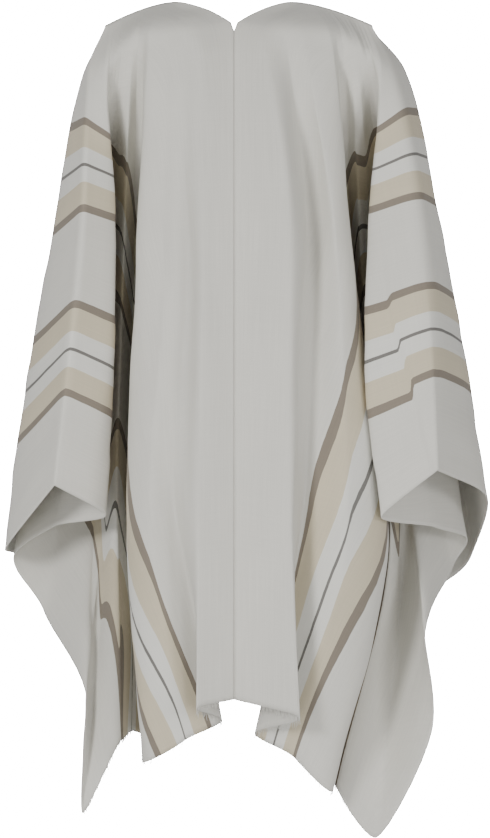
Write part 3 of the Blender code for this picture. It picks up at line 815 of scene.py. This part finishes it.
def seam_stitches(name, left, right, offset, rng, material):
    """Small overcast stitches that draw the two selvedges together, on the outer face."""
    line = (left + right) / 2
    steps = np.concatenate([[0.0], np.cumsum(np.linalg.norm(np.diff(line, axis=0), axis=1))])
    threads = []
    at = STITCH_PITCH / 2
    while at < steps[-1] - STITCH_PITCH / 3:
        middle = np.array([np.interp(at, steps, line[:, k]) for k in range(3)])
        way = np.array([np.interp(at + MM, steps, line[:, k]) for k in range(3)]) - middle
        way /= np.linalg.norm(way) + TINY
        out = offset * np.array([0.0, -way[2], way[1]])
        reach = STITCH_REACH * rng.uniform(*STITCH_REACHES)
        lean = way * reach * rng.uniform(*STITCH_LEANS)
        sideways = np.array([reach, 0.0, 0.0])
        lift = out * (CLOTH_THICKNESS / 2 + THREAD_RADIUS * STITCH_LIFT)
        sunk = out * CLOTH_THICKNESS * STITCH_SINK
        stitch = [
            middle - sideways - lean + sunk,
            middle - sideways * STITCH_SHOULDER - lean * STITCH_SHOULDER + lift,
            middle + lift * STITCH_TOP,
            middle + sideways * STITCH_SHOULDER + lean * STITCH_SHOULDER + lift,
            middle + sideways + lean + sunk,
        ]
        threads.append((stitch, np.full(len(stitch), THREAD_RADIUS)))
        at += STITCH_PITCH * rng.uniform(*STITCH_PITCHES)
    return join_threads(name, threads, TUBE_SIDES, material)


def build_cloth():
    """Both panels with their hems' loose warp ends, and the two seams."""
    cloth = cloth_material()
    yarn = thread_material("fringe_yarn", FRINGE_COLOUR, FRINGE_GRAIN)
    thread = thread_material("seam_thread", THREAD_COLOUR, THREAD_GRAIN)
    rng = np.random.default_rng(RANDOM_SEED)
    back_tip = [fold.name for fold in BACK_LEFT].index("tip") * len(BACK_COLUMNS)
    crest = (len(BACK_LEFT) - 2) * len(BACK_COLUMNS) + len(BACK_CREST_COLUMNS)
    front_tip = crest + len(FRONT_CREST_COLUMNS)
    front_tip += ([fold.name for fold in FRONT].index("front tip") + 1) * len(FRONT_COLUMNS)
    last = len(ROWS) - 1
    edges = {}
    for word, side in (("left", -1), ("right", 1)):
        item, points, number = cloth_panel("cloth_" + word, side, cloth)
        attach(item, "root")
        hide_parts("panel_" + word)
        runs = {"back": range(0, back_tip + 1), "front": range(front_tip, 2 * crest + 1)}
        for place, columns in runs.items():
            piece = hem_yarns("yarns_" + place + "_" + word, points, number, columns, last, rng, yarn)
            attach(piece, "root")
            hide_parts("fringe_" + place + "_" + word)
        edges[side] = {"back": np.array([points[number[(0, j)]] for j in range(last + 1)]),
                       "front": np.array([points[number[(2 * crest, j)]] for j in range(last + 1)])}
    for place, reach, outward in (("back", BACK_V_REACH, 1.0), ("front", FRONT_V_REACH, -1.0)):
        sewn = ROWS * HALF_LENGTH >= reach
        left, right = edges[-1][place][sewn], edges[1][place][sewn]
        piece = seam_stitches("seam_" + place, left, right, outward, rng, thread)
        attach(piece, "root")


def build_stage():
    """Floor, light and camera."""
    turns = [2 * math.pi * k / FLOOR_CORNERS for k in range(FLOOR_CORNERS)]
    rim = [(FLOOR_RADIUS * math.cos(a), FLOOR_RADIUS * math.sin(a), FLOOR_LEVEL) for a in turns]
    floor_mesh = bpy.data.meshes.new("floor")
    floor_mesh.from_pydata(rim, [], [list(range(FLOOR_CORNERS))])
    floor = bpy.data.objects.new("floor", floor_mesh)
    bpy.context.scene.collection.objects.link(floor)
    paper = bpy.data.materials.new("pale_floor")
    paper.use_nodes = True
    paper.node_tree.nodes["Principled BSDF"].inputs["Base Color"].default_value = (0.9, 0.9, 0.9, 1.0)
    paper.node_tree.nodes["Principled BSDF"].inputs["Roughness"].default_value = 1.0
    floor_mesh.materials.append(paper)
    world = bpy.data.worlds.new("studio")
    world.use_nodes = True
    tree = world.node_tree
    light = tree.nodes["Background"]
    light.inputs[0].default_value = (1.0, 1.0, 1.0, 1.0)
    light.inputs[1].default_value = ROOM_LIGHT
    backdrop = node(tree, "ShaderNodeBackground", Strength=BACKDROP)
    path = tree.nodes.new("ShaderNodeLightPath")
    mix = tree.nodes.new("ShaderNodeMixShader")
    tree.links.new(path.outputs["Is Camera Ray"], mix.inputs[0])
    tree.links.new(light.outputs[0], mix.inputs[1])
    tree.links.new(backdrop.outputs[0], mix.inputs[2])
    tree.links.new(mix.outputs[0], tree.nodes["World Output"].inputs[0])
    bpy.context.scene.world = world
    for lamp in LAMPS:
        data = bpy.data.lights.new(lamp.name, "AREA")
        data.shape = "DISK"
        data.energy = lamp.watts
        data.size = lamp.size
        item = bpy.data.objects.new(lamp.name, data)
        item.location = lamp.place
        aim = np.array(LAMP_AIM) - np.array(lamp.place)
        item.rotation_euler = (math.atan2(math.hypot(aim[0], aim[1]), -aim[2]), 0.0,
                               math.atan2(aim[1], aim[0]) - math.pi / 2)
        bpy.context.scene.collection.objects.link(item)
    data = bpy.data.cameras.new("camera")
    data.sensor_width = CAMERA_SENSOR
    data.lens = CAMERA_LENS
    data.shift_x, data.shift_y = (pixels / PHOTO_HEIGHT for pixels in CAMERA_SHIFT)
    camera = bpy.data.objects.new("camera", data)
    camera.location = CAMERA_PLACE
    camera.rotation_euler = (math.pi / 2, 0.0, 0.0)
    bpy.context.scene.collection.objects.link(camera)
    bpy.context.scene.camera = camera


build_cloth()
build_stage()
